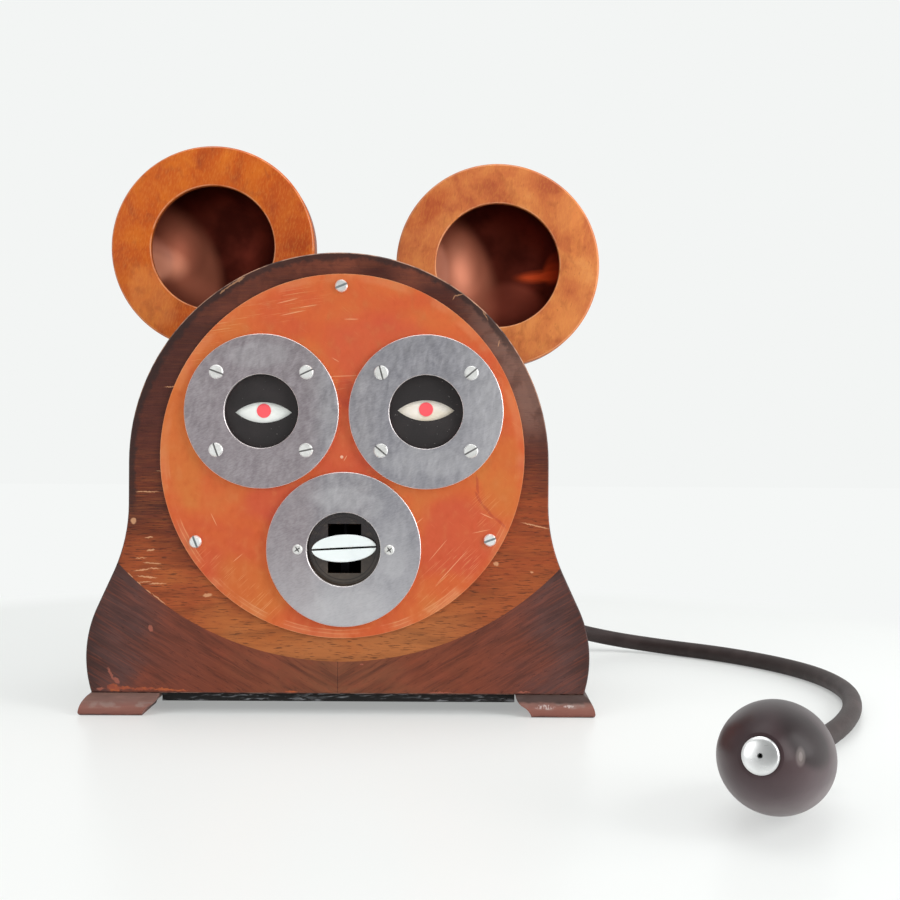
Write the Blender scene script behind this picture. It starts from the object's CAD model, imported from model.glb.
"""Surfaces, finishes, light and camera for the face that a rubber bulb works.

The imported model's own frame: +Z up, the face looks towards -Y. Places and sizes are in
millimetres, which MM turns to metres, and angles in degrees; lamps and camera are in metres.
"""
import math

import bmesh
import bpy
import numpy as np
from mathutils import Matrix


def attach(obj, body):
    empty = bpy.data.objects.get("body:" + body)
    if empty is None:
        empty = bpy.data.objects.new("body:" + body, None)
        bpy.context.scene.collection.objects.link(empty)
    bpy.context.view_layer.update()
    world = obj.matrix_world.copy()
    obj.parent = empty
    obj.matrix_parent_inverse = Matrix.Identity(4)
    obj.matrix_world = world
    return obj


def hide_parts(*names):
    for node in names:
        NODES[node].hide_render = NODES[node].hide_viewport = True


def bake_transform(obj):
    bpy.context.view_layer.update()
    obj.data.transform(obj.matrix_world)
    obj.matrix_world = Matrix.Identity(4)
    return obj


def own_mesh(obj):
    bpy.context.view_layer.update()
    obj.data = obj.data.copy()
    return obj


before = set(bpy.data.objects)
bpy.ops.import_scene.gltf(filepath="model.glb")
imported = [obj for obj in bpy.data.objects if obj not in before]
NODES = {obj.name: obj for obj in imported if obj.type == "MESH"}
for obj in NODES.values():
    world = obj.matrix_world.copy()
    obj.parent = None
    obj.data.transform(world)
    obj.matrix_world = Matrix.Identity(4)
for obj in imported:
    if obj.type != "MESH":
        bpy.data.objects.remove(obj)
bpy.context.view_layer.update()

MM = 0.001

# Places and sizes that several pieces share.
PLATE, PLATE_RADIUS = (2.2, 150.3), 105.6
EYES = {"left": (-44.5, 176.0), "right": (50.7, 176.0)}
MOUTH = (3.4, 96.3)
EARS = {"left": (-97.8, 290.8), "right": (96.4, 279.7)}
EAR_OUTER, EAR_HOLE, EAR_DEPTH, EAR_LIP = 69.2, 42.1, 20.0, 5.0
BOWL_RADIUS, BOWL_DEPTH, BOWL_WALL = 45.0, 34.0, 1.2
CASE_REAR = 62.5
ARCH_START = 146.6
FRONT_ARRIS = (-62.47, -62.2)  # from the case's front face to behind its rubbed arris
RING_FRONT = -67.1
FOOT_HEIGHT = 12.1
BULB_MIDDLE = (203.3, -261.3, 26.09)
BULB_TURN, BULB_TILT = 22.6, 13.5
# Where colour ramps end: up the field, outwards over an apron, and up the bulb.
FIELD_SPAN, APRON_SPAN, BLOOM_SPAN = 270, 150, 55


# ---------------------------------------------------------------- nodes
def linear(colour):
    """The linear RGBA value of an sRGB hex colour."""
    parts = [int(colour[i:i + 2], 16) / 255 for i in (1, 3, 5)]
    return [c / 12.92 if c <= 0.04045 else ((c + 0.055) / 1.055) ** 2.4 for c in parts] + [1.0]


def feed(tree, node, *values, **named):
    """Give a node's inputs values: in the order that the node shows them, or by name.

    A node stands for its first output in use, and a hex colour is made linear.
    """
    shown = [socket for socket in node.inputs if socket.enabled]
    given = list(zip(shown, values))
    given += [(node.inputs[name.replace("_", " ")], value) for name, value in named.items()]
    for socket, value in given:
        if isinstance(value, bpy.types.Node):
            value = next(output for output in value.outputs if output.enabled)
        if isinstance(value, bpy.types.NodeSocket):
            tree.links.new(value, socket)
        else:
            socket.default_value = linear(value) if isinstance(value, str) else value


def add(tree, kind, *values, stops=(), **named):
    """Add a node: a name in small letters is a setting, and all else is an input, as in feed.

    stops are the places and colours of a colour ramp.
    """
    node = tree.nodes.new("ShaderNode" + kind)
    for setting in [name for name in named if name.islower()]:
        setattr(node, setting, named.pop(setting))
    feed(tree, node, *values, **named)
    if stops:
        elements = node.color_ramp.elements
        elements.remove(elements[1])
        elements[0].position = stops[0][0]
        elements[0].color = linear(stops[0][1])
        for position, colour in stops[1:]:
            elements.new(position).color = linear(colour)
    return node


def steps(tree, *rises, share=1.0):
    """share times smooth rises: each (value, low, high) is 0 at low and 1 at high."""
    found = share
    for value, low, high in rises:
        found = add(tree, "MapRange", value, low, high, 0.0, found,
                    interpolation_type="SMOOTHSTEP")
    return found


def over(tree, base, colour, share, *rises):
    """base with colour laid over it by share, and only where the rises, if any, are up."""
    return add(tree, "Mix", steps(tree, *rises, share=share), base, colour, data_type="RGBA")


def total(tree, start, *terms):
    """start plus each term's value times its weight; a term is (value, weight)."""
    found = start
    for value, weight in terms:
        found = add(tree, "Math", value, weight, found, operation="MULTIPLY_ADD")
    return found


def highest(tree, first, *others):
    """The highest of several values."""
    for value in others:
        first = add(tree, "Math", first, value, operation="MAXIMUM")
    return first


def axes(tree, where):
    """The three coordinates in millimetres."""
    scaled = add(tree, "VectorMath", where, 1 / MM, operation="SCALE")
    return add(tree, "SeparateXYZ", scaled).outputs


def from_middle(tree, where, middle):
    """Distance in the front plane from a point, in millimetres."""
    flat = add(tree, "VectorMath", where, (1 / MM, 0, 1 / MM), operation="MULTIPLY")
    return add(tree, "VectorMath", flat, (middle[0], 0, middle[1]), operation="DISTANCE")


def pattern(tree, where, sizes, turn=0.0, detail=3.0, shift=0.0, distortion=0.0):
    """Noise with features of the given sizes in millimetres along X, Y and Z.

    turn leans it in the front plane: a positive one lifts its +X end.
    """
    placed = add(tree, "Mapping", where, (shift, shift, shift), (0, -math.radians(turn), 0),
                 [size * MM for size in sizes], vector_type="TEXTURE")
    return add(tree, "TexNoise", placed, Scale=1.0, Detail=detail, Distortion=distortion)


def cloud(tree, where, size, **named):
    """Noise with features of one size in all directions."""
    return pattern(tree, where, (size, size, size), **named)


def marks(tree, where, places, share=1.0):
    """share inside any of the small ellipses (x, z, half length, half width, turn)."""
    found = []
    for x, z, length, width, turn in places:
        placed = add(tree, "Mapping", where, (x * MM, 0, z * MM), (0, -math.radians(turn), 0),
                     (length * MM, 1.0, width * MM), vector_type="TEXTURE")
        reach = add(tree, "VectorMath", placed, operation="LENGTH")
        found.append(steps(tree, (reach, 1.25, 0.75), share=share))
    return highest(tree, *found)


def ragged(tree, where, grain, reach):
    """Coordinates pushed about by noise, so that a mark's edge isn't smooth."""
    placed = add(tree, "Mapping", where, Scale=[grain * MM] * 3, vector_type="TEXTURE")
    noise = add(tree, "TexNoise", placed, Scale=1.0, Detail=3.0).outputs["Color"]
    centred = add(tree, "VectorMath", noise, (0.5, 0.5, 0.5), operation="SUBTRACT")
    pushed = add(tree, "VectorMath", centred, 2 * reach * MM, operation="SCALE")
    return add(tree, "VectorMath", where, pushed, operation="ADD")


def finish(name, build):
    """A material that build(tree, where, shader) fills; where is the piece's own coordinates.

    build may return another shader, which then takes the place of the first as the surface.
    """
    material = bpy.data.materials.new(name)
    material.use_nodes = True
    tree = material.node_tree
    tree.nodes.clear()
    shader = add(tree, "BsdfPrincipled")
    other = build(tree, add(tree, "TexCoord").outputs["Object"], shader)
    add(tree, "OutputMaterial", other or shader)
    return material


# ---------------------------------------------------------------- finishes
# Sliced walnut under old satin polish: fibres 0.6 mm wide are drawn, short dark pores, slow
# colour clouds. The polish gives a soft wide sheen; the front arris is rubbed to pale wood.
FIELD_FLECKS = [
    (-111, 79.5, 5.5, 0.45, -6), (-114, 83.5, 4.5, 0.4, 8), (-108, 87.5, 5, 0.35, -4),
    (-105, 75.6, 5, 0.35, 2), (-75.8, 69, 2.6, 1.0, 6), (91.7, 88, 1.6, 1.2, -30),
    (-109, 95, 2.2, 0.5, 10), (-110, 102.5, 2.2, 0.4, 4), (114.5, 110.3, 8, 0.4, -13),
    (112.6, 83.3, 0.9, 0.5, 0), (-111, 129, 6.5, 0.3, 0), (-121, 80.5, 2.4, 0.4, -42),
    (-115.5, 75.4, 1.6, 0.6, -42), (-110.5, 71, 2.0, 0.6, -36), (-104, 66.5, 5, 0.3, -38),
    (-61, 250.5, 7, 0.5, 33), (-58, 252.4, 2.2, 0.9, 33), (-68, 245.5, 2.0, 0.5, 38),
    (69.3, 244.1, 2.9, 0.35, 12), (66.5, 242.6, 1.6, 0.3, 60), (79.5, 238.6, 3.2, 0.3, -35),
    (84.5, 232.6, 3.2, 0.3, -58), (92.5, 216, 2.0, 0.3, 75), (-96, 190, 5, 0.25, 2),
    (-102, 141, 4, 0.25, -2), (102, 160, 3, 0.25, 3), (-114.5, 90.5, 3.2, 0.25, 3),
    (-106.5, 84.5, 3.4, 0.25, -3), (-112, 76.6, 3.6, 0.25, 4), (-119, 112, 1.6, 1.8, 0)]


def field_walnut(tree, where, shader):
    """The field behind the face plate: grain level, golden low down, red-black round the arch."""
    x, y, z = axes(tree, where)
    fibres = pattern(tree, where, (13, 4, 0.55), detail=4)
    figure = pattern(tree, where, (50, 20, 7), distortion=0.8, shift=0.3)
    pores = pattern(tree, where, (6, 2, 0.6), detail=2, shift=0.7)
    clouds = pattern(tree, where, (34, 34, 24), shift=1.1)
    level = total(tree, -50, (z, 1), (x, -0.12), (clouds, 100))
    share = add(tree, "Math", level, FIELD_SPAN, operation="DIVIDE")
    base = add(tree, "ValToRGB", share, stops=[
        (0.14, "#A86436"), (0.24, "#A85D2D"), (0.32, "#964622"), (0.42, "#743218"),
        (0.52, "#58271A"), (0.70, "#4C221B"), (0.88, "#442019"), (0.98, "#693424")])
    redder = over(tree, base, "#8E3E1E", 0.7, (x, 40, 100), (z, 145, 110))
    bloomed = over(tree, redder, "#86665A", 0.6, (x, 60, 100), (z, 150, 180))
    blots = cloud(tree, where, 9, detail=4, distortion=0.6, shift=0.6)
    blotched = over(tree, bloomed, "#3A1610", 0.45, (blots, 0.45, 0.70))
    # The grain shows fully only below the eyes, where the blots give way to it.
    low_down = steps(tree, (z, 170, 120))
    grained = over(tree, blotched, bloomed, low_down)
    strong = total(tree, 0.25, (low_down, 0.75))
    for colour, most, rise in (("#2A120B", 0.35, (figure, 0.42, 0.72)),
                               ("#BC6C34", 0.20, (fibres, 0.40, 0.75)),
                               ("#28110A", 0.62, (pores, 0.57, 0.67))):
        grained = over(tree, grained, colour, total(tree, 0, (strong, most)), rise)
    # Black old polish along the outer arris, thickest on the shoulders and thin on the right.
    above = highest(tree, total(tree, -ARCH_START, (z, 1)), 0)
    out = add(tree, "VectorMath", add(tree, "CombineXYZ", x, 0, above), operation="LENGTH")
    fray = cloud(tree, where, 3.5, detail=4, shift=0.4)
    slow = cloud(tree, where, 45, detail=2, shift=0.9)
    frayed = total(tree, -7, (out, 1), (fray, 6), (slow, 8))
    right = steps(tree, (x, 85, 105), (z, 225, 200))
    banded = over(tree, grained, "#261A19", total(tree, 0.75, (right, -0.6)),
                  (frayed, 116.8, 119.6), (z, 110, 130))
    strength = add(tree, "MapRange", z, 200, 230, 0.72, 0.42)
    flecks = marks(tree, ragged(tree, where, 1.6, 0.8), FIELD_FLECKS, strength)
    worn = over(tree, banded, "#D09A72", flecks)
    rubbed = over(tree, "#46302A", "#B4866C", 1, (z, 150, 200))
    uneven = cloud(tree, where, 7, detail=4, shift=0.2)
    coloured = over(tree, worn, rubbed, 0.8, (y, *FRONT_ARRIS), (uneven, 0.36, 0.60))
    grain = add(tree, "Math", fibres, steps(tree, (pores, 0.57, 0.67)), operation="SUBTRACT")
    feed(tree, shader, Base_Color=coloured, Roughness=steps(tree, (clouds, -0.55, 1.6)),
         IOR=1.5, Specular_IOR_Level=0.25,
         Normal=add(tree, "Bump", Height=grain, Distance=0.05 * MM))


APRON_CHIPS = [
    (-129.9, 15.0, 3.6, 1.9, -10), (-123.5, 15.0, 4.2, 0.9, 0), (-113, 14.5, 6.5, 0.8, 2),
    (-101, 14.2, 6, 0.7, 0), (-92, 13.6, 5, 0.5, 0), (-27, 13, 3.5, 0.8, 0)]
APRON_FLECKS = [
    (-131.4, 22.6, 4.2, 0.7, -62), (-128.2, 19.2, 2.2, 1.3, -50), (-137.9, 14.3, 2.2, 0.8, 0),
    (-108.7, 49.7, 1.3, 2.0, 20), (108, 13.6, 4, 0.4, 0), (60, 13.2, 7, 0.3, 0),
    (14, 29, 0.8, 0.5, 0)]


def apron_walnut(tree, where, shader):
    """The two lower aprons: book-matched, the grain rising outwards, black at the outer corners."""
    # Both leaves take the right one's coordinates: X loses its sign, and Y keeps its own.
    folded = add(tree, "VectorMath", where, operation="ABSOLUTE")
    matched = add(tree, "VectorMath", folded, (1, -1, 1), operation="MULTIPLY")
    outwards, y, z = axes(tree, matched)
    fibres = pattern(tree, matched, (16, 4, 0.8), turn=31, detail=4)
    streaks = pattern(tree, matched, (30, 8, 2.4), turn=31, distortion=0.3, shift=0.55)
    figure = pattern(tree, matched, (46, 20, 9), turn=31, detail=4, distortion=1.0, shift=0.4)
    pores = pattern(tree, matched, (4, 2, 0.6), turn=31, detail=2, shift=0.9)
    blots = pattern(tree, where, (17, 17, 12), detail=4, distortion=0.5, shift=0.7)
    clouds = pattern(tree, where, (34, 34, 26), detail=2, shift=0.15)
    reach = total(tree, -38.4, (outwards, 1), (clouds, 60), (z, 0.24))
    share = add(tree, "Math", reach, APRON_SPAN, operation="DIVIDE")
    base = add(tree, "ValToRGB", share, stops=[
        (0.0, "#78462F"), (0.45, "#723825"), (0.68, "#683629"), (0.84, "#563834"),
        (0.97, "#3C2725")])
    ruddy = over(tree, base, "#86402C", 0.35, (blots, 0.50, 0.72), (reach, 135, 105))
    dark = over(tree, ruddy, "#35190F", 0.32, (figure, 0.46, 0.68))
    drawn = over(tree, dark, "#3E201A", 0.35, (streaks, 0.50, 0.66))
    fine = over(tree, drawn, "#98492F", 0.22, (fibres, 0.45, 0.70))
    pored = over(tree, fine, "#1C0E0A", 0.45, (pores, 0.62, 0.72))
    rough = ragged(tree, where, 2.0, 1.3)
    fresh = pattern(tree, where, (4, 4, 2.5), shift=0.3)
    bright = over(tree, "#B05A30", "#944833", 1, (fresh, 0.35, 0.65))
    chipped = over(tree, pored, bright, marks(tree, rough, APRON_CHIPS, 0.85))
    flecked = over(tree, chipped, "#A8604E", marks(tree, rough, APRON_FLECKS, 0.62))
    seamed = over(tree, flecked, "#2A1510", 0.6, (outwards, 0.3, 0.1))
    edged = over(tree, seamed, "#33221F", 0.7, (y, *FRONT_ARRIS))
    broken = cloud(tree, where, 6, detail=4, shift=0.6)
    coloured = over(tree, edged, "#A8806E", 0.55, (z, 12.9, 12.2), (broken, 0.42, 0.62))
    grain = add(tree, "Math", fibres, steps(tree, (pores, 0.62, 0.72)), operation="SUBTRACT")
    feed(tree, shader, Base_Color=coloured, Roughness=steps(tree, (clouds, -0.7, 1.5)),
         IOR=1.5, Specular_IOR_Level=0.25,
         Normal=add(tree, "Bump", Height=grain, Distance=0.04 * MM))


def side_walnut(tree, where, shader):
    """The bent side and both boards' edges: fibres run round the case, dark old polish."""
    fibres = pattern(tree, where, (18, 0.7, 18), detail=4)
    figure = pattern(tree, where, (70, 7, 70), distortion=0.6, shift=0.5)
    clouds = pattern(tree, where, (45, 30, 45), detail=2, shift=0.1)
    base = over(tree, "#4A271C", "#33190F", 1, (clouds, 0.35, 0.7))
    dark = over(tree, base, "#1F0E09", 0.6, (figure, 0.4, 0.7))
    fine = over(tree, dark, "#7C452B", 0.3, (fibres, 0.4, 0.75))
    from_centre = add(tree, "Math", axes(tree, where)["Y"], operation="ABSOLUTE")
    uneven = cloud(tree, where, 8, shift=0.8)
    coloured = over(tree, fine, "#A06C48", 0.35,
                    (from_centre, CASE_REAR - 0.45, CASE_REAR - 0.25), (uneven, 0.45, 0.62))
    feed(tree, shader, Base_Color=coloured, Roughness=steps(tree, (clouds, -0.5, 1.8)),
         IOR=1.5, Coat_Weight=0.2, Coat_Roughness=0.3,
         Normal=add(tree, "Bump", Height=fibres, Distance=0.05 * MM))


def back_ply(tree, where, shader):
    """The back board and the door: stained plywood, upright grain, dull."""
    fibres = pattern(tree, where, (0.8, 6, 22), detail=4)
    figure = pattern(tree, where, (9, 20, 90), distortion=0.7, shift=0.25)
    clouds = cloud(tree, where, 50, detail=2, shift=0.35)
    base = over(tree, "#5B3521", "#3B2014", 1, (figure, 0.35, 0.7))
    fine = over(tree, base, "#82553A", 0.35, (fibres, 0.4, 0.75))
    aged = over(tree, fine, "#24130C", 0.35, (clouds, 0.5, 0.75))
    feed(tree, shader, Base_Color=aged, Roughness=steps(tree, (clouds, -1.2, 1.4)), IOR=1.5,
         Normal=add(tree, "Bump", Height=fibres, Distance=0.06 * MM))


def foot_mahogany(tree, where, shader):
    """The bracket feet: red-brown, dull; rubbed grey half way up, dirt under the case's edge."""
    x, _, z = axes(tree, where)
    fibres = pattern(tree, where, (10, 5, 0.8), detail=4, turn=4)
    clouds = pattern(tree, where, (8, 8, 4), detail=4, shift=0.45)
    scuffs = pattern(tree, where, (1.1, 1.1, 3.0), shift=0.15)
    level = total(tree, -2, (z, 1), (clouds, 4))
    share = add(tree, "Math", level, FOOT_HEIGHT, operation="DIVIDE")
    base = add(tree, "ValToRGB", share, stops=[
        (0.02, "#4E2C26"), (0.10, "#7A493F"), (0.40, "#82544A"), (0.62, "#74524A"),
        (0.95, "#664A42")])
    fine = over(tree, base, "#96685A", 0.22, (fibres, 0.4, 0.75))
    dirty = over(tree, fine, "#33231F", 0.85, (level, 7.0, 8.8), (x, 0, 60))
    greyed = over(tree, dirty, "#A09088", 0.30, (level, 4.0, 5.6), (level, 8.8, 7.2),
                  (clouds, 0.45, 0.62))
    glints = marks(tree, ragged(tree, where, 1.2, 0.5),
                   [(120, 6.0, 5.5, 1.3, 0), (134, 6.4, 3.0, 0.7, 0)], 0.5)
    coloured = over(tree, greyed, "#D8CCC8", glints, (scuffs, 0.42, 0.6))
    feed(tree, shader, Base_Color=coloured, Roughness=steps(tree, (clouds, -0.7, 1.6)),
         IOR=1.5, Specular_IOR_Level=0.35,
         Normal=add(tree, "Bump", Height=clouds, Distance=0.12 * MM))


def ear_fruitwood(tree, where, shader):
    """The turned ears: honey-orange polish over close wood, blotchy, both arrises rubbed pale.

    The piece's own map has the distance from the ear's middle across, 100 mm to the full width.
    """
    x, y, _ = axes(tree, where)
    clouds = pattern(tree, where, (21, 21, 24), detail=4, distortion=0.7, shift=0.5)
    blots = pattern(tree, where, (7, 7, 10), detail=4, distortion=0.4, shift=0.85)
    flecks = pattern(tree, where, (0.9, 2, 3.2), turn=-12, shift=0.12)
    ticks = pattern(tree, where, (1.0, 2, 2.4), turn=-12, detail=2, shift=0.33)
    left = add(tree, "ValToRGB", clouds, stops=[
        (0.30, "#A0400E"), (0.45, "#B8500C"), (0.60, "#C25E10"), (0.75, "#CB701C")])
    right = add(tree, "ValToRGB", clouds, stops=[
        (0.30, "#A4502E"), (0.45, "#B96436"), (0.60, "#C5753E"), (0.75, "#D0894C")])
    both = over(tree, left, right, 1, (x, -10, 10))
    zones = ragged(tree, where, 14, 6)
    redder = over(tree, both, "#A43E14", marks(tree, zones, [
        (-44, 312, 12, 26, 20), (-52, 290, 8, 14, 0), (48, 318, 20, 9, 40),
        (-128, 250, 12, 8, -40)], 0.35))
    base = over(tree, redder, "#D88444", marks(tree, zones, [
        (-140, 256, 14, 22, 30), (128, 236, 26, 12, 38), (150, 300, 5, 20, 0)], 0.40))
    dark = over(tree, base, "#86341A", 0.33, (blots, 0.52, 0.74))
    fine = over(tree, dark, "#E09A46", 0.18, (flecks, 0.42, 0.72))
    ticked = over(tree, fine, "#6E2A10", 0.28, (ticks, 0.64, 0.74))
    across = add(tree, "SeparateXYZ", add(tree, "UVMap", uv_map="turned"))
    radius = add(tree, "Math", across, 100, operation="MULTIPLY")
    rim = steps(tree, (radius, EAR_OUTER - 1.3, EAR_OUTER - 1.1),
                (radius, EAR_OUTER - 0.4, EAR_OUTER - 0.7), share=0.42)
    hole = steps(tree, (radius, EAR_HOLE + 1.0, EAR_HOLE + 0.7),
                 (y, CASE_REAR + 0.9, CASE_REAR + 0.5), share=0.42)
    uneven = cloud(tree, where, 9, shift=0.66)
    coloured = over(tree, ticked, "#E2A880", highest(tree, rim, hole), (uneven, 0.25, 0.55))
    behind = over(tree, coloured, "#6E3820", 0.75, (y, CASE_REAR + 1.6, CASE_REAR + 2.3))
    feed(tree, shader, Base_Color=behind, Roughness=steps(tree, (clouds, -0.7, 1.7)),
         IOR=1.5, Specular_IOR_Level=0.22,
         Normal=add(tree, "Bump", Height=flecks, Distance=0.03 * MM))


PLATE_SCRATCHES = [
    (2, 196.6, 9, 0.2, 2), (-49.5, 217.6, 3.6, 0.22, 42), (-27, 233, 7, 0.25, 12),
    (-18, 237, 5, 0.25, 10), (7, 229.6, 4, 0.25, 0), (-30, 240, 6, 0.25, 14),
    (66, 86, 13, 0.22, 48), (58, 96, 8, 0.18, 50), (86, 116, 4, 0.25, -24),
    (83, 107, 5, 0.2, 12), (4, 149, 1.8, 0.25, 60), (46, 112, 4, 0.2, 40),
    (-88, 213, 6, 0.25, 40), (-72, 113, 4, 0.22, -64), (-58, 91, 3.5, 0.2, 40),
    (-2, 206, 2.4, 0.2, -30)]


def plate_copper(tree, where, shader):
    """The face plate: copper sheet, heat-tinted and lacquered, orange with redder clouds.

    Handling leaves fine bright scratches, and the lacquer is gone along the rim.
    """
    clouds = cloud(tree, where, 42, distortion=0.6, shift=0.2)
    mottle = pattern(tree, where, (5, 5, 7), detail=4, shift=0.9)
    base = add(tree, "ValToRGB", clouds, stops=[
        (0.30, "#CB5833"), (0.45, "#CF5F31"), (0.58, "#D26834"), (0.72, "#D07038")])
    zones = ragged(tree, where, 18, 7)
    zoned = over(tree, base, "#C84B3C", marks(tree, zones, [
        (30, 205, 38, 26, -20), (5, 160, 22, 24, 0), (70, 104, 26, 22, 30),
        (-30, 122, 26, 12, 0)], 0.42))
    golden = over(tree, zoned, "#CC7C33", marks(tree, zones, [
        (-92, 165, 12, 44, 8), (95, 138, 11, 26, 0), (84, 150, 10, 14, 0),
        (-52, 74, 24, 14, -40), (-70, 214, 20, 10, 40)], 0.34))
    spotted = over(tree, golden, "#B4451F", 0.20, (mottle, 0.5, 0.8))
    pale = over(tree, spotted, "#DE8D55", 0.20, (mottle, 0.48, 0.25))
    # A dark red run of old polish: down the right of the plate, then away from its middle.
    stained = over(tree, pale, "#A8302A", marks(tree, ragged(tree, where, 5, 0.8), [
        (80.6, 134, 5.5, 0.8, 96), (81.5, 126, 4.5, 0.85, -62), (87, 118.6, 5.5, 0.9, -48),
        (94, 112, 4.5, 0.8, -40), (54, 196, 1.0, 13, -30), (4, 187, 5, 9, 10)], 0.42))
    # Fine scratches lie level at the top, rise at the lower right and fall all over.
    level = pattern(tree, where, (20, 20, 0.5), turn=9, detail=2, shift=0.4)
    rising = pattern(tree, where, (17, 17, 0.5), turn=44, detail=2, shift=0.75)
    falling = pattern(tree, where, (13, 13, 0.40), turn=-38, detail=1.5, shift=0.05)
    top = marks(tree, zones, [(-27, 240, 26, 8, 16), (10, 190, 26, 6, 0), (-70, 222, 24, 6, 42)])
    low = marks(tree, zones, [(66, 84, 28, 10, 44), (88, 120, 10, 12, 20), (-60, 76, 34, 8, -38)])
    lines = highest(tree, steps(tree, (level, 0.58, 0.68), share=top),
                    steps(tree, (rising, 0.60, 0.68), share=low),
                    steps(tree, (falling, 0.72, 0.78), share=0.5))
    scuffed = over(tree, stained, "#E8AC72", total(tree, 0, (lines, 0.42)))
    scratched = over(tree, scuffed, "#F2B689", marks(tree, where, PLATE_SCRATCHES, 0.6))
    # Two hair lines run a few millimetres inside the edge, where a cloth has gone round and round.
    radius = from_middle(tree, where, PLATE)
    inside = total(tree, PLATE_RADIUS + 1, (radius, -1), (cloud(tree, where, 26, shift=0.3), -2))
    patches = (cloud(tree, where, 17, detail=4, shift=0.55), 0.40, 0.62)
    inner = steps(tree, (inside, 5.3, 4.8), (inside, 4.2, 4.7), share=0.6)
    outer = steps(tree, (inside, 3.2, 2.8), (inside, 2.2, 2.6), share=0.6)
    turns = steps(tree, (axes(tree, where)["Z"], 165, 120), patches,
                  share=highest(tree, inner, outer))
    arris = steps(tree, (radius, PLATE_RADIUS - 0.35, PLATE_RADIUS - 0.15),
                  share=total(tree, 0.4, (steps(tree, patches), 0.5)))
    crescent = steps(tree, (rising, 0.46, 0.62), share=marks(tree, zones, [(64, 72, 30, 12, 44)]))
    band = steps(tree, (inside, 6.0, 3.0), patches, share=total(tree, 0.22, (crescent, 0.40)))
    rimmed = over(tree, scratched, "#E2A070", highest(tree, turns, arris, band))
    coloured = over(tree, rimmed, "#F0CDB0", marks(tree, where, [(1.9, 149.7, 0.9, 0.9, 0)], 0.7))
    dulled = total(tree, 0, (mottle, 1), (lines, -0.2))
    feed(tree, shader, Base_Color=coloured, Metallic=0.5,
         Roughness=steps(tree, (dulled, -0.7, 1.5)),
         Normal=add(tree, "Bump", Height=total(tree, 0, (mottle, 1), (lines, -1)),
                    Distance=0.012 * MM))


def bowl_copper(tree, where, shader):
    """The spun bowls of the ears: browned copper, satin; inside, the left is polished bright."""
    # The two skins are told apart by their distance from the bowl's middle, its depth stretched.
    spans = []
    for x, z in EARS.values():
        placed = add(tree, "Mapping", where, (x * MM, (CASE_REAR + EAR_LIP) * MM, z * MM),
                     (0, 0, 0), (MM, BOWL_DEPTH / BOWL_RADIUS * MM, MM), vector_type="TEXTURE")
        spans.append(add(tree, "VectorMath", placed, operation="LENGTH"))
    span = add(tree, "Math", *spans, operation="MINIMUM")
    inner = steps(tree, (span, BOWL_RADIUS - 0.4, BOWL_RADIUS - 0.9))
    clouds = cloud(tree, where, 26, shift=0.4)
    deep = over(tree, "#5E261C", "#411711", 1, (clouds, 0.35, 0.7))
    polished = marks(tree, where, [(-144, 259, 46.5, 64, 0), (49.5, 257, 47, 60, 0)])
    base = over(tree, deep, "#A8644E", 0.85, (polished, 0.15, 0.85))
    shaded = over(tree, base, "#4A2218", marks(
        tree, where, [(-121, 294, 13, 22, 0), (75, 284, 12, 18, 0)], 0.30))
    shone = over(tree, shaded, "#F0A888", total(
        tree, 0, (marks(tree, where, [(-143, 281, 21, 14, 0), (44, 277, 36, 34, 0)]), 0.24),
        (marks(tree, where, [(-150, 280, 21, 10, 0)]), 0.24)))
    warmed = over(tree, shone, "#A0503F", marks(
        tree, where, [(109, 257, 20, 14, -20), (98, 243, 14, 12, 0), (86, 240, 10, 11, 0)], 0.50))
    # Light caught on the far side: a streak laid in three passes, each wider than the last.
    passes = ([(125.5, 275.4, 10, 1.6, -2), (134, 275.4, 8, 3.4, 0)],
              [(125.5, 275.4, 13, 3.0, -2), (136, 277, 7, 7, 0)],
              [(127, 275.6, 17, 4.8, 0), (136.5, 280, 7, 11, -15)])
    glow = total(tree, 0, *[(marks(tree, where, places), 0.19) for places in passes])
    glowing = over(tree, warmed, "#E85A2A", glow)
    outer = over(tree, "#7E3E2C", "#5A281C", 1, (clouds, 0.35, 0.7))
    # Old lacquer holds on beside the left rims, and scatters the light that bare copper mirrors.
    lacquer = marks(tree, where, [(-141, 283, 10, 16, 0), (55, 276, 8, 20, 0)])
    feed(tree, shader, Base_Color=over(tree, outer, glowing, inner),
         Metallic=total(tree, 1, (lacquer, -0.65)), Roughness=total(tree, 0.48, (clouds, 0.12)))


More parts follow.
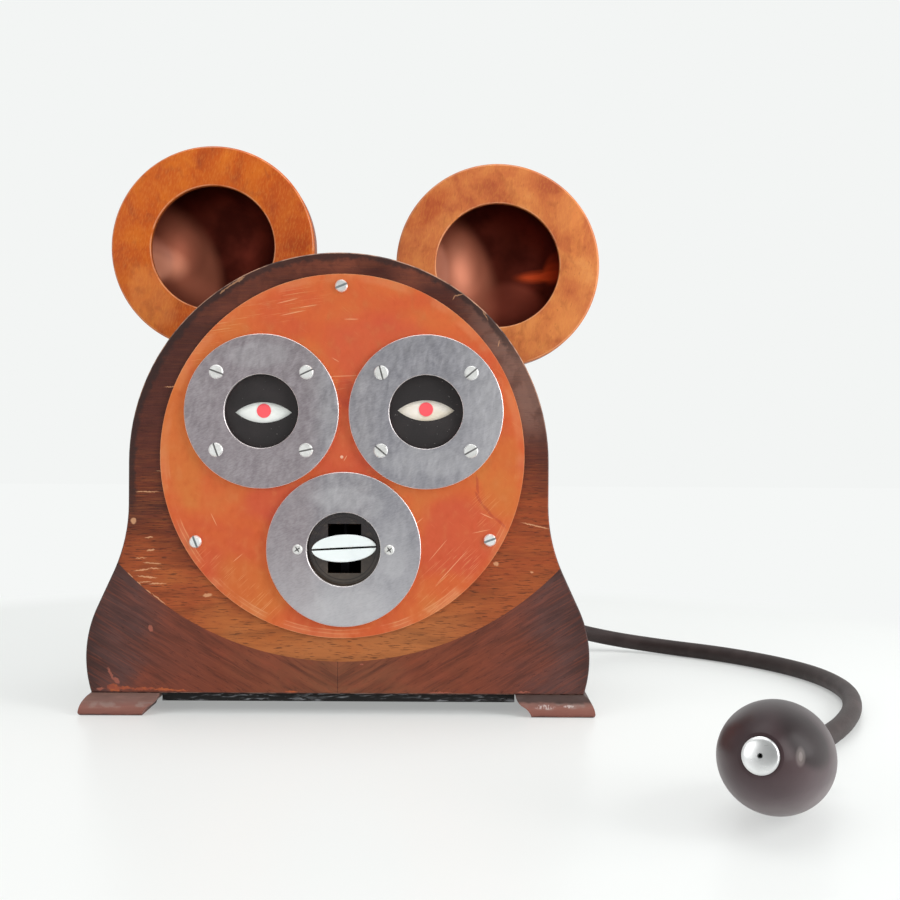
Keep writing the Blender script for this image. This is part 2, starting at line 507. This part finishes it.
def ring_aluminium(tree, where, shader):
    """Turned aluminium, rubbed by hand: soft cloudy smears, hair scratches, bright arrises."""
    x, y, z = axes(tree, where)
    clouds = pattern(tree, where, (12, 12, 15), detail=5, distortion=1.4, shift=0.2)
    smears = pattern(tree, where, (3.0, 3.0, 9), turn=-14, detail=4, distortion=0.5, shift=0.5)
    grain = pattern(tree, where, (2.2, 2.2, 0.6), turn=24, shift=0.7)
    hairs = steps(tree, (pattern(tree, where, (6, 6, 0.4), turn=58, detail=2, shift=0.9),
                         0.70, 0.78))
    base = add(tree, "ValToRGB", clouds, stops=[
        (0.28, "#9C999F"), (0.46, "#A9A6AB"), (0.60, "#B4B1B5"), (0.80, "#C0BEC1")])
    warm = over(tree, base, "#9C898D", 0.50, (x, -4, -20))
    cool = over(tree, warm, "#989BA6", 0.30, (x, 12, 30))
    lit = over(tree, cool, "#DDDCDF", highest(
        tree, steps(tree, (x, 55, 95), share=0.5), steps(tree, (z, 115, 55), share=0.4)))
    smeared = over(tree, lit, "#D6D4D7", 0.09, (smears, 0.40, 0.70))
    pale = over(tree, smeared, "#CFCDD2", 0.18, (grain, 0.42, 0.62))
    grained = over(tree, pale, "#85838B", 0.14, (grain, 0.50, 0.34))
    patched = over(tree, grained, "#E6E5E7", marks(tree, ragged(tree, where, 16, 6), [
        (52, 147, 24, 8, 0), (-46, 208, 18, 7, 0), (33, 97, 9, 16, 0), (4, 62, 24, 10, 0),
        (2, 126, 20, 6, 0)], 0.20))
    haired = over(tree, patched, "#F0F0F1", total(tree, 0, (hairs, 0.24)))
    coloured = over(tree, haired, "#EDE6E5", 0.85, (y, RING_FRONT + 0.02, RING_FRONT + 0.12))
    feed(tree, shader, Base_Color=coloured, Metallic=1.0,
         Roughness=steps(tree, (total(tree, 0, (smears, 1), (hairs, 1)), -1.1, 2.4)),
         Normal=add(tree, "Bump", Height=smears, Distance=0.006 * MM))


def metal(colour, dull, roughness, grain, turn=0.0, slots=(), dirt_colour="#4A5050", shine=1.0):
    """A plain metal: two tones, scratches grain millimetres wide, and dirt in the slots listed."""
    def build(tree, where, shader):
        scratches = pattern(tree, where, (14 * grain, 14 * grain, grain), turn=turn)
        tones = over(tree, colour, dull, 1, (cloud(tree, where, 9, shift=0.3), 0.4, 0.7))
        metallic = shine
        if slots:
            dirt = marks(tree, where, slots)
            tones = over(tree, tones, dirt_colour, dirt)
            metallic = total(tree, shine, (dirt, -0.6))
        feed(tree, shader, Base_Color=tones, Metallic=metallic,
             Roughness=total(tree, roughness - 0.08, (scratches, 0.18)),
             Normal=add(tree, "Bump", Height=scratches, Distance=0.008 * MM))
    return build


def plain(colour, worn, roughness, grain, relief, specks=None, level=0.5):
    """Moulded or painted stock: two tones in slow clouds, a fine texture, perhaps dust specks."""
    def build(tree, where, shader):
        texture = cloud(tree, where, grain)
        coloured = over(tree, colour, worn, 1, (cloud(tree, where, 14, shift=0.6), 0.4, 0.75))
        if specks:
            dust = cloud(tree, where, 1.1, detail=1, shift=0.2)
            coloured = over(tree, coloured, specks, 0.5, (dust, 0.76, 0.80))
        feed(tree, shader, Base_Color=coloured, IOR=1.5, Specular_IOR_Level=level,
             Roughness=total(tree, roughness - 0.06, (texture, 0.14)),
             Normal=add(tree, "Bump", Height=texture, Distance=relief * MM))
    return build


def raw_timber(tree, where, shader):
    """The chassis inside: unfinished beech board."""
    fibres = pattern(tree, where, (0.8, 6, 14), detail=4)
    figure = pattern(tree, where, (7, 20, 60), distortion=0.6, shift=0.4)
    base = over(tree, "#B98B5C", "#9C6E42", 1, (figure, 0.35, 0.7))
    fine = over(tree, base, "#D2A97C", 0.3, (fibres, 0.4, 0.75))
    feed(tree, shader, Base_Color=fine, Roughness=0.7,
         Normal=add(tree, "Bump", Height=fibres, Distance=0.06 * MM))


def rough_edge(tree, where, shader):
    """The floor board's sawn edge: black stain that took unevenly, pale broken fibres along it."""
    fibres = pattern(tree, where, (7, 4, 0.9), turn=3, detail=4, distortion=0.6)
    broken = pattern(tree, where, (16, 16, 2.5), shift=0.4)
    torn = over(tree, "#1C1B1B", "#8C8E92", 0.75, (fibres, 0.50, 0.66), (broken, 0.42, 0.60))
    feed(tree, shader, Base_Color=torn, Roughness=0.75, Specular_IOR_Level=0.3,
         Normal=add(tree, "Bump", Height=fibres, Distance=0.15 * MM))


def cup_acrylic(tree, where, shader):
    """The cup behind the lips: glossy brown-black acrylic, two turned steps, dust low in it."""
    clouds = pattern(tree, where, (5, 5, 4), detail=4, shift=0.3)
    radius = from_middle(tree, where, MOUTH)
    level = total(tree, 0, (axes(tree, where)["Z"], 1), (clouds, 6))
    base = over(tree, "#2B2224", "#453B32", 1, (level, 104, 82))
    dusty = over(tree, base, "#5C5248", 0.5, (clouds, 0.48, 0.72))
    stepped = over(tree, dusty, "#171112", highest(
        tree, steps(tree, (radius, 17.8, 18.2), (radius, 18.8, 18.4), share=0.7),
        steps(tree, (radius, 19.8, 20.0), (radius, 20.5, 20.3), share=0.7)))
    feed(tree, shader, Base_Color=stepped, Roughness=steps(tree, (clouds, -0.1, 2.4)), IOR=1.49,
         Normal=add(tree, "Bump", Height=clouds, Distance=0.03 * MM))


def bulb_rubber(tree, where, shader):
    """The bulb: brown-black rubber, shiny where hands rub it, a grey bloom on its underside."""
    clouds = cloud(tree, where, 16, shift=0.6)
    level = total(tree, 0, (axes(tree, where)["Z"], 1), (clouds, 10))
    share = add(tree, "Math", level, BLOOM_SPAN, operation="DIVIDE")
    bloom = add(tree, "ValToRGB", share, stops=[
        (0.08, "#8C8082"), (0.26, "#6C5F61"), (0.48, "#524548"), (0.72, "#433537"),
        (1.0, "#34282A")])
    darker = over(tree, bloom, "#1C1415", marks(tree, where, [(207, 40.5, 15, 8, -40)], 0.80))
    scuffed = over(tree, darker, "#A89E9A", total(
        tree, 0, (marks(tree, where, [(201.6, 36.6, 1.0, 1.8, 0)]), 0.20),
        (marks(tree, where, [(201.6, 36.4, 2.3, 3.6, 0)]), 0.20)))
    feed(tree, shader, Base_Color=scuffed, Roughness=total(tree, 0.28, (clouds, 0.12)), IOR=1.5,
         Specular_IOR_Level=0.14,
         Normal=add(tree, "Bump", Height=cloud(tree, where, 1.5), Distance=0.01 * MM))


EYE_SCREWS, MOUTH_SCREWS, PLATE_SCREW_REACH = (26.0, 22.5), 26.5, 98.5


def slots_at(middle, angles):
    """Marks for the slots of an eye's four screws: top left, top right, low left, low right."""
    return [(middle[0] + a * EYE_SCREWS[0], middle[1] + b * EYE_SCREWS[1], 14, 0.45, angle)
            for (a, b), angle in zip(((-1, 1), (1, 1), (-1, -1), (1, -1)), angles)]


EYE_SLOTS = (slots_at(EYES["left"], (-20, 25, -70, 12))
             + slots_at(EYES["right"], (-75, 40, -40, 30)))
MOUTH_SLOTS = [(MOUTH[0] + side * MOUTH_SCREWS, MOUTH[1], 2.0, 0.38, turn)
               for side in (-1, 1) for turn in (35, 125)]
PLATE_SLOTS = [(PLATE[0] + PLATE_SCREW_REACH * math.cos(math.radians(angle)),
                PLATE[1] + PLATE_SCREW_REACH * math.sin(math.radians(angle)), 14, 0.62, turn)
               for angle, turn in ((90.6, 22), (210.6, -68), (330.6, 20))]

FINISHES = {
    "walnut_veneer_field": field_walnut,
    "walnut_veneer_apron": apron_walnut,
    "walnut_side_polished": side_walnut,
    "plywood_stained": back_ply,
    "mahogany_foot_polished": foot_mahogany,
    "fruitwood_ear_polished": ear_fruitwood,
    "beech_board_raw": raw_timber,
    "copper_sheet_lacquered": plate_copper,
    "copper_bowl_spun": bowl_copper,
    "aluminium_ring_rubbed": ring_aluminium,
    # Turned aluminium screws are paler and cleaner than the rings under them.
    "aluminium_screw_turned": metal("#F2F2F0", "#DEDEDB", 0.42, 0.8, 20,
                                    EYE_SLOTS + MOUTH_SLOTS, "#6A6868", 0.75),
    # Bright nickel on the plate's screws mirrors the room, with grey dirt in the slots.
    "nickel_screw_bright": metal("#F8F9F8", "#E6E8E7", 0.30, 0.6, -30,
                                 PLATE_SLOTS, "#8A9193", 0.8),
    # Bare steel is greyer: turned for the screws and nuts, and sheet for the works.
    "steel_screw_turned": metal("#A9ABAB", "#7E8080", 0.30, 0.6, -30),
    "steel_sheet_milled": metal("#9FA1A3", "#7B7D7F", 0.36, 0.8),
    # Blackened against glare, where it shows behind the lips.
    "steel_blackened": metal("#161517", "#0E0D0F", 0.50, 0.8),
    # Drawn brass, gone brown-yellow in the air, with a low shine.
    "brass_drawn": metal("#B08D4E", "#8A6A34", 0.32, 0.8),
    # Chrome plate, a little hazed by handling, so it mirrors softly.
    "chrome_plated": metal("#EEEFEF", "#E1E2E2", 0.30, 0.5),
    # Flat black paint on thin sheet: almost no sheen, a few specks of dust.
    "black_paint_matt": plain("#1D1819", "#272122", 0.72, 0.8, 0.01, "#A09A98"),
    # Cut white sheet with a soft gloss; the right eye's has yellowed.
    "acetate_white_left": plain("#F2F5F1", "#E9EBE7", 0.36, 1.5, 0.004),
    "acetate_white_right": plain("#F0E8DE", "#E6D8BE", 0.36, 1.5, 0.004),
    # A dab of signal-red enamel: one flat colour with a faint gloss.
    "enamel_pupil_red": plain("#FB5A62", "#F65560", 0.40, 1.0, 0.004),
    # Sawn white acrylic: a cool white with an even, soft gloss.
    "acrylic_lip_white": plain("#E7EEEE", "#E3EAEB", 0.34, 2.0, 0.004),
    "acrylic_brown_black": cup_acrylic,
    # Pressed phenolic board for the eyes' guides: dark brown, half dull.
    "phenolic_brown": plain("#3A2216", "#2A170E", 0.45, 1.0, 0.02),
    # Coated cloth on the bellows: a pebbled brown skin with little shine.
    "leather_cloth_brown": plain("#5A3A24", "#432A19", 0.60, 1.6, 0.12),
    # Old vulcanised rubber: brown-black with a greasy sheen; the hose is duller than the bulb.
    "rubber_bulb_moulded": bulb_rubber,
    "rubber_hose_drawn": plain("#302625", "#3E3332", 0.52, 1.2, 0.03, level=0.25),
    "pine_floor_stained": rough_edge,
}
MATERIALS = {name: finish(name, build) for name, build in FINISHES.items()}

NODE_FINISHES = {
    "walnut_veneer_field": ["field_veneer"],
    "walnut_veneer_apron": ["apron_veneer_left", "apron_veneer_right"],
    "walnut_side_polished": ["case_shell", "case_front"],
    "plywood_stained": ["case_back", "rear_door"],
    "mahogany_foot_polished": ["feet_back", "feet_front"],
    "beech_board_raw": ["bellows_base", "bellows_top", "chassis_board", "rod_guide"],
    "copper_sheet_lacquered": ["face_plate"],
    "aluminium_ring_rubbed": ["eye_ring_left", "eye_ring_right", "mouth_ring"],
    "aluminium_screw_turned": ["eye_ring_screws", "mouth_ring_screws"],
    "nickel_screw_bright": ["face_plate_screws"],
    "steel_screw_turned": ["ear_screws", "ring_screw_nuts"],
    "steel_blackened": ["lip_bracket", "lower_lip_arm", "upper_lip_arm", "lip_axle", "lift_yoke",
                        "yoke_pins_and_wire"],
    "steel_sheet_milled": ["chassis_brackets", "eye_crank", "eye_slide", "push_rod"],
    "brass_drawn": ["axle_sleeve", "crank_post", "door_button", "door_hinge_leaves",
                    "door_hinges"],
    "chrome_plated": ["hose_inlet", "release_valve", "release_screw"],
    "black_paint_matt": ["eye_mask_left", "eye_mask_right"],
    "acetate_white_left": ["eye_white_left"],
    "acetate_white_right": ["eye_white_right"],
    "enamel_pupil_red": ["pupils"],
    "acrylic_brown_black": ["mouth_cup"],
    "phenolic_brown": ["eye_slide_guides"],
    "rubber_hose_drawn": ["inner_tube"],
    "pine_floor_stained": ["bottom_board"],
}
for finish_name, node_names in NODE_FINISHES.items():
    for node_name in node_names:
        NODES[node_name].material_slots[0].material = MATERIALS[finish_name]


# ---------------------------------------------------------------- camera, floor and light
def seen_rays(tree):
    """1 for rays of the camera or a mirror, and 1 for those of a mirror alone."""
    path = add(tree, "LightPath").outputs
    mirrored = highest(tree, path["Is Glossy Ray"], path["Is Transmission Ray"])
    return highest(tree, path["Is Camera Ray"], mirrored), mirrored


def stage_floor(tree, where, shader):
    """A pale table: what the camera and mirrors see of it far off fades into the backdrop."""
    feed(tree, shader, Base_Color="#E9EBE9", Roughness=0.30, IOR=1.35)
    reach = add(tree, "VectorMath", where, 1 / MM, operation="SCALE")
    reach = add(tree, "VectorMath", reach, operation="LENGTH")
    near = steps(tree, (axes(tree, where)["Y"], -60, -200), share=0.22)
    lifted = highest(tree, total(tree, 0.36, (near, 1)), steps(tree, (reach, 450, 620)))
    far = add(tree, "Math", seen_rays(tree)[0], lifted, operation="MULTIPLY")
    backdrop = add(tree, "Emission", "#F5F7F6", 1.0)
    return add(tree, "MixShader", far, shader, backdrop)


bpy.ops.mesh.primitive_plane_add(size=8.0)
floor = bpy.context.object
floor.name = "pale_table"
floor.data.materials.append(finish("table_lacquer_pale", stage_floor))

scene = bpy.context.scene
scene.view_settings.view_transform = "Standard"
world = bpy.data.worlds.new("studio")
scene.world = world
world.use_nodes = True
sky = world.node_tree
sky.nodes.clear()
# The sky is full white to the camera and to mirrors, and dimmer as a light. Mirrors that look
# towards the camera's side see a darker room.
shown, mirrored = seen_rays(sky)
towards = add(sky, "SeparateXYZ", add(sky, "TexCoord").outputs["Generated"]).outputs["Y"]
room = total(sky, 1.0, (steps(sky, (towards, 0.25, -0.55), share=mirrored), -0.62))
ambient = total(sky, 0.62, (shown, 0.38))
background = add(sky, "Background", "#F3F5F4",
                 add(sky, "Math", ambient, room, operation="MULTIPLY"))
add(sky, "OutputWorld", background)

AIM = np.array([0.04, 0.0, 0.14])
for lamp_name, place, width, height, power in (
        ("key_right", (1.15, -0.75, 0.55), 0.5, 1.1, 12.2),
        ("side_right", (1.35, -0.12, 0.42), 0.4, 0.9, 5.0),
        ("fill_left", (-0.95, -0.95, 0.60), 0.8, 0.8, 4.2),
        ("top_soft", (0.05, -0.10, 1.50), 1.2, 1.2, 9.5)):
    lamp_data = bpy.data.lights.new(lamp_name, "AREA")
    lamp_data.shape = "RECTANGLE"
    lamp_data.size = width
    lamp_data.size_y = height
    lamp_data.energy = power
    lamp = bpy.data.objects.new(lamp_name, lamp_data)
    scene.collection.objects.link(lamp)
    aim = AIM - np.array(place)
    aim /= np.linalg.norm(aim)
    lamp.location = place
    lamp.rotation_euler = (math.acos(-aim[2]), 0, math.atan2(aim[0], -aim[1]) + math.pi)

camera_data = bpy.data.cameras.new("camera")
camera_data.sensor_width = 36.0
camera_data.lens = 49.93
camera_data.shift_x = -0.0008
camera_data.shift_y = -0.0056
camera = bpy.data.objects.new("camera", camera_data)
scene.collection.objects.link(camera)
camera.location = (0.065, -0.7875, 0.157)
camera.rotation_euler = (math.pi / 2, math.radians(-0.3), 0)
scene.camera = camera


# ---------------------------------------------------------------- the hose
# Corners of the hose's route in millimetres, from the inlet at the back to the bulb's valve.
HOSE_ROUTE = [
    (104, 66.5, 35), (104, 101, 35), (116, 137, 30), (142, 163, 21), (182, 171, 10),
    (225, 156, 5.5), (262, 125, 5.5), (292, 85, 5.5), (310, 41, 5.5), (313, -10, 5.5),
    (301, -60, 5.5), (281, -105, 5.5), (260.5, -138, 5.5), (247, -160.5, 5.5),
    (235.44, -184.1, 6.02), (230.21, -196.65, 9.28),
]
HOSE_DIAMETER, HOSE_LENGTH = 11.0, 596.0

curve = bpy.data.curves.new("rubber_hose", "CURVE")
curve.dimensions = "3D"
curve.bevel_depth = HOSE_DIAMETER / 2 * MM
curve.bevel_resolution = 10
curve.resolution_u = 24
curve.render_resolution_u = 24
curve.use_fill_caps = True
spline = curve.splines.new("NURBS")
spline.points.add(len(HOSE_ROUTE) - 1)
for point, corner in zip(spline.points, HOSE_ROUTE):
    point.co = [value * MM for value in corner] + [1.0]
spline.order_u = 3
spline.use_endpoint_u = True
hose = bpy.data.objects.new("rubber_hose", curve)
scene.collection.objects.link(hose)
curve.materials.append(MATERIALS["rubber_hose_drawn"])
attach(hose, "case")
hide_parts("air_hose")


# ---------------------------------------------------------------- surfaces
def piece(name, points, quads, body, material, uv=None, sharp=35.0, replaced=(),
          follow=True):
    """A piece from points in metres and four-cornered faces, merged, its faces outwards."""
    mesh = bpy.data.meshes.new(name)
    mesh.from_pydata(points.tolist(), [], quads.tolist())
    if uv is not None:
        layer = mesh.uv_layers.new(name="turned")
        layer.data.foreach_set("uv", uv[quads.ravel()].ravel())
    work = bmesh.new()
    work.from_mesh(mesh)
    bmesh.ops.remove_doubles(work, verts=work.verts, dist=1e-6)
    bmesh.ops.recalc_face_normals(work, faces=work.faces)
    work.to_mesh(mesh)
    work.free()
    mesh.shade_smooth()
    mesh.set_sharp_from_angle(angle=math.radians(sharp))
    made = bpy.data.objects.new(name, mesh)
    scene.collection.objects.link(made)
    mesh.materials.append(MATERIALS[material])
    if follow:
        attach(made, body)
    if replaced:
        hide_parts(*replaced)
    return made


def grid_quads(rows, columns, rows_close=False, columns_close=True):
    """Corner numbers of the faces between the points of a rows by columns grid."""
    i = np.arange(rows if rows_close else rows - 1)[:, None]
    j = np.arange(columns if columns_close else columns - 1)[None, :]
    below = (i + 1) % rows
    beside = (j + 1) % columns
    corners = [i * columns + j, i * columns + beside,
               below * columns + beside, below * columns + j]
    return np.stack(np.broadcast_arrays(*corners), -1).reshape(-1, 4)


def turned(profile, count, closed=False):
    """A lathe surface: profile rows (along, radius) carried round an axis through count steps.

    Returns points as (along, across, up) = (a, r cos t, r sin t), the faces, and a map of
    (radius / 100 mm, share of the turn).
    """
    profile = np.asarray(profile, float)
    size = (len(profile), count)
    t = np.linspace(0, 2 * np.pi, count, endpoint=False)
    along, radius = profile[:, :1], profile[:, 1:]
    points = np.stack([np.broadcast_to(along, size), radius * np.cos(t), radius * np.sin(t)], -1)
    uv = np.stack([np.broadcast_to(radius / 100, size),
                   np.broadcast_to(t / (2 * np.pi), size)], -1)
    return points.reshape(-1, 3), grid_quads(len(profile), count, closed), uv.reshape(-1, 2)


def facing_back(points, x, z, y):
    """Stand a lathe surface with its axis along +Y at (x, z), its zero at y, in metres."""
    return np.stack([x + points[:, 1], y + points[:, 0], z + points[:, 2]], -1) * MM


BULB_SIDE = (math.cos(math.radians(BULB_TURN)), -math.sin(math.radians(BULB_TURN)), 0)


def on_bulb(points):
    """Lay a lathe surface along the bulb's axis, turned from +Y, its hose end tilted low."""
    turn, tilt = math.radians(BULB_TURN), math.radians(BULB_TILT)
    axis = np.array([math.sin(turn) * math.cos(tilt), math.cos(turn) * math.cos(tilt),
                     -math.sin(tilt)])
    side = np.array(BULB_SIDE)
    up = np.cross(side, axis)
    return (np.array(BULB_MIDDLE) + points[:, :1] * axis + points[:, 1:2] * side
            + points[:, 2:] * up) * MM


def rounded(corners, radii, arc_points):
    """A closed profile through corners with arcs of the given radii: each arc's points are
    the quadratic blend (1-s)^2 a + 2s(1-s) c + s^2 b between its two tangent points a and b."""
    corners = np.asarray(corners, float)
    before = np.roll(corners, 1, 0) - corners
    after = np.roll(corners, -1, 0) - corners
    before /= np.linalg.norm(before, axis=1, keepdims=True)
    after /= np.linalg.norm(after, axis=1, keepdims=True)
    radii = np.asarray(radii, float)[:, None]
    start = (corners + before * radii)[:, None]
    end = (corners + after * radii)[:, None]
    s = np.linspace(0, 1, arc_points)[None, :, None]
    arcs = (1 - s) ** 2 * start + 2 * s * (1 - s) * corners[:, None] + s ** 2 * end
    return arcs.reshape(-1, 2)


# The ears: a ring whose outer arrises are bevelled and softened, rebated behind for the bowl.
EAR_BEVEL, EAR_REBATE = 1.4, 45.3
ear_profile = rounded(
    [(0, EAR_HOLE + 0.5), (0, EAR_OUTER - EAR_BEVEL), (EAR_BEVEL, EAR_OUTER),
     (EAR_DEPTH - EAR_BEVEL, EAR_OUTER), (EAR_DEPTH, EAR_OUTER - EAR_BEVEL),
     (EAR_DEPTH, EAR_REBATE), (EAR_LIP, EAR_REBATE), (EAR_LIP, EAR_HOLE), (0.5, EAR_HOLE)],
    [0.2, 0.45, 0.45, 0.45, 0.45, 0.3, 0.1, 0.1, 0.2], 4)
# A bowl's two skins are half ellipses (depth sin q, radius cos q), the inner a wall smaller.
q = np.linspace(0, np.pi / 2, 40)
bowl_outer = np.stack([BOWL_DEPTH * np.sin(q), BOWL_RADIUS * np.cos(q)], -1)
bowl_inner = np.stack([(BOWL_DEPTH - BOWL_WALL) * np.sin(q),
                       (BOWL_RADIUS - BOWL_WALL) * np.cos(q)], -1)
bowl_profile = np.concatenate([bowl_outer[::-1], bowl_inner])
for side, (ear_x, ear_z) in EARS.items():
    points, quads, uv = turned(ear_profile, 192, closed=True)
    piece("turned_ear_" + side, facing_back(points, ear_x, ear_z, CASE_REAR), quads, "case",
          "fruitwood_ear_polished", uv, replaced=["ear_ring_" + side])
    points, quads, uv = turned(bowl_profile, 160)
    piece("spun_bowl_" + side, facing_back(points, ear_x, ear_z, CASE_REAR + EAR_LIP), quads,
          "case", "copper_bowl_spun", uv, replaced=["ear_bowl_" + side])

# The bulb: radius = (ellipse^8 + neck^8)^(1/8), an ellipse that runs softly into the neck,
# which grows from nothing to its full radius over 8 mm.
BULB_LONG, BULB_RADIUS, NECK_RADIUS, MOUTH_RADIUS = 50.0, 24.0, 9.0, 6.0
NECK_START, NECK_RISE = 34.0, 8.0
NEAR_END, FAR_END = -46.5, 50.0
along = NEAR_END + (FAR_END - NEAR_END) * (1 - np.cos(np.linspace(0, np.pi, 90))) / 2
ellipse = BULB_RADIUS * np.sqrt(np.clip(1 - (along / BULB_LONG) ** 2, 0, 1))
neck = NECK_RADIUS * np.clip((along - NECK_START) / NECK_RISE, 0, 1)
skin = (ellipse ** 8 + neck ** 8) ** 0.125
bulb_profile = np.concatenate([
    [(NEAR_END + 3, MOUTH_RADIUS), (NEAR_END + 0.4, MOUTH_RADIUS),
     (NEAR_END, MOUTH_RADIUS + 0.5)],
    np.stack([along, skin], -1)[1:-1],
    [(FAR_END - 0.4, NECK_RADIUS - 0.1), (FAR_END, NECK_RADIUS - 0.7), (FAR_END, MOUTH_RADIUS),
     (FAR_END - 6, MOUTH_RADIUS)]])
points, quads, uv = turned(bulb_profile, 160)
bulb = piece("moulded_bulb", on_bulb(points), quads, "case", "rubber_bulb_moulded", uv,
             sharp=60, replaced=["squeeze_bulb"])
# A hand presses it from both sides, so its two ends stay where they are.
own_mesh(bulb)

# The air inlet at the bulb's near end: a polished dome with a small hole, on a thin rim.
INLET_HOLE, DOME_RADIUS, DOME_RISE, RIM_RADIUS, INLET_DEPTH = 0.8, 7.1, 1.5, 7.4, 10.0
dome = np.linspace(0.16, np.pi / 2, 14)
valve_profile = np.concatenate([
    [(NEAR_END + INLET_DEPTH, INLET_HOLE), (NEAR_END - 1.6, INLET_HOLE)],
    np.stack([NEAR_END - 0.7 - DOME_RISE * np.cos(dome), DOME_RADIUS * np.sin(dome)], -1),
    [(NEAR_END - 0.55, RIM_RADIUS - 0.05), (NEAR_END - 0.1, RIM_RADIUS),
     (NEAR_END, RIM_RADIUS - 0.1), (NEAR_END, MOUTH_RADIUS - 0.1),
     (NEAR_END + INLET_DEPTH, MOUTH_RADIUS - 0.1)]])
points, quads, uv = turned(valve_profile, 96, closed=True)
piece("inlet_dome", on_bulb(points), quads, "case", "chrome_plated", uv, sharp=40,
      replaced=["inlet_valve"])

# The lips: half ovals. Across each the section is |v|^6 + |w|^6 = 1, so its edges are round.
LIP_HALF, LIP_RISE, LIP_GAP, LIP_THICK, LIP_Z, LIP_TILT = 18.65, 8.0, 0.55, 2.0, 96.7, 3.2
LIP_REAR = -62.2
LIP_ROWS, LIP_COLUMNS = 72, 48
u = np.sin(np.linspace(-np.pi / 2, np.pi / 2, LIP_ROWS))[:, None]
u *= math.sqrt(1 - (LIP_GAP / LIP_RISE) ** 2)
s = np.linspace(0, 2 * np.pi, LIP_COLUMNS, endpoint=False)[None, :]
reach = LIP_RISE * np.sqrt(1 - u ** 2) - LIP_GAP
v = np.sign(np.cos(s)) * np.abs(np.cos(s)) ** (1 / 3)
w = np.sign(np.sin(s)) * np.abs(np.sin(s)) ** (1 / 3)
tilt = math.radians(LIP_TILT)
for name, way, body in (("upper", 1, "upper_jaw"), ("lower", -1, "lower_jaw")):
    lip_x = LIP_HALF * u + 0 * s
    lip_z = way * (LIP_GAP + reach * (1 + v) / 2)
    lip_y = LIP_REAR - LIP_THICK / 2 * (1 + w) + 0 * u
    points = np.stack([MOUTH[0] + lip_x * math.cos(tilt) - lip_z * math.sin(tilt), lip_y,
                       LIP_Z + lip_x * math.sin(tilt) + lip_z * math.cos(tilt)], -1)
    piece(name + "_lip_plate", points.reshape(-1, 3) * MM, grid_quads(LIP_ROWS, LIP_COLUMNS),
          body, "acrylic_lip_white", sharp=60, replaced=[name + "_lip"])

# The bellows cloth: rounded rectangles |x/a|^8 + |y/b|^8 = 1 whose size falls and rises 3 times.
BELLOWS_LOW, BELLOWS_TALL, BELLOWS_Y = 18.1, 14.0, -20.0
CLOTH_ROWS, CLOTH_COLUMNS = 37, 160
CLOTH_HALF, FOLD_NEAR, FOLD_DEEP, INNER_SHARE = (40, 30), 2.0, 1.9, (0.965, 0.955)
t = np.linspace(0, 2 * np.pi, CLOTH_COLUMNS, endpoint=False)[None, :]
level = np.linspace(0, 1, CLOTH_ROWS)[:, None]
fold = FOLD_NEAR + FOLD_DEEP * (1 + np.cos(6 * np.pi * level)) / 2
cloth_x = (CLOTH_HALF[0] - fold) * np.sign(np.cos(t)) * np.abs(np.cos(t)) ** 0.25
cloth_y = (CLOTH_HALF[1] - fold) * np.sign(np.sin(t)) * np.abs(np.sin(t)) ** 0.25
outer = np.stack([MOUTH[0] + cloth_x, BELLOWS_Y + cloth_y,
                  BELLOWS_LOW + BELLOWS_TALL * level + 0 * t], -1)
inner = outer[::-1].copy()
for axis, middle in enumerate((MOUTH[0], BELLOWS_Y)):
    inner[..., axis] = middle + (inner[..., axis] - middle) * INNER_SHARE[axis]
cloth = piece("bellows_pleats", np.concatenate([outer, inner]).reshape(-1, 3) * MM,
              grid_quads(2 * CLOTH_ROWS, CLOTH_COLUMNS, rows_close=True), "case",
              "leather_cloth_brown", sharp=50, replaced=["bellows_cloth"],
              follow=False)
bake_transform(cloth)


# Screw heads in the hinges and round the back board: domes cut by a slot.
def screw_heads(name, places, radius, y, body):
    """Low brass domes (rise = 0.35 r (1 - (d/r)^2)) with a slot pressed 0.5 r into the grid."""
    side = 21
    count = side * side
    a, b = np.meshgrid(np.linspace(-1, 1, side), np.linspace(-1, 1, side))
    square = np.maximum(np.abs(a), np.abs(b)) + 1e-9
    round_out = square / np.hypot(a, b).clip(1e-9)
    a, b = a * round_out, b * round_out
    d = np.hypot(a, b)
    quads = grid_quads(side, side, columns_close=False)
    row = np.arange(side - 1)
    rim = np.concatenate([row, side - 1 + side * row, count - 1 - row,
                          count - side - side * row])
    following = np.roll(rim, -1)
    wall = np.stack([rim, following, following + count, rim + count], -1)
    all_points, all_quads = [], []
    for number, (x, z, angle) in enumerate(places):
        turn = math.radians(angle)
        across = a * math.cos(turn) + b * math.sin(turn)
        slot = (np.abs(across) < 0.14) * (d < 0.97)
        rise = np.maximum(0.35 * radius * (1 - d ** 2) - 0.5 * radius * slot, -0.4 * radius)
        front = np.stack([x + radius * a, y + rise, z + radius * b], -1).reshape(-1, 3)
        rear = front.copy()
        rear[:, 1] = y - 0.6 * radius
        offset = 2 * count * number
        all_points += [front, rear]
        all_quads += [quads + offset, quads[:, ::-1] + count + offset, wall + offset]
    piece(name, np.concatenate(all_points) * MM, np.concatenate(all_quads), body,
          "brass_drawn")


HINGE_LEAF = 1.2
screw_heads("back_board_screws", [
    (-118, 30, 20), (118, 60, -35), (-113, 150, 70), (113, 150, 10), (0, 262, 40),
    (-126, 70, 5), (0, 24, -15)], 3.2, CASE_REAR, "case")
screw_heads("hinge_screws_fixed", [
    (-88, 65, 30), (-88, 84, -20), (-88, 155, 75), (-88, 174, 5)], 2.2,
    CASE_REAR + HINGE_LEAF, "case")
screw_heads("hinge_screws_door", [(-64, 74.8, 50), (-64, 164.8, -10)], 2.2,
            CASE_REAR + HINGE_LEAF, "door")
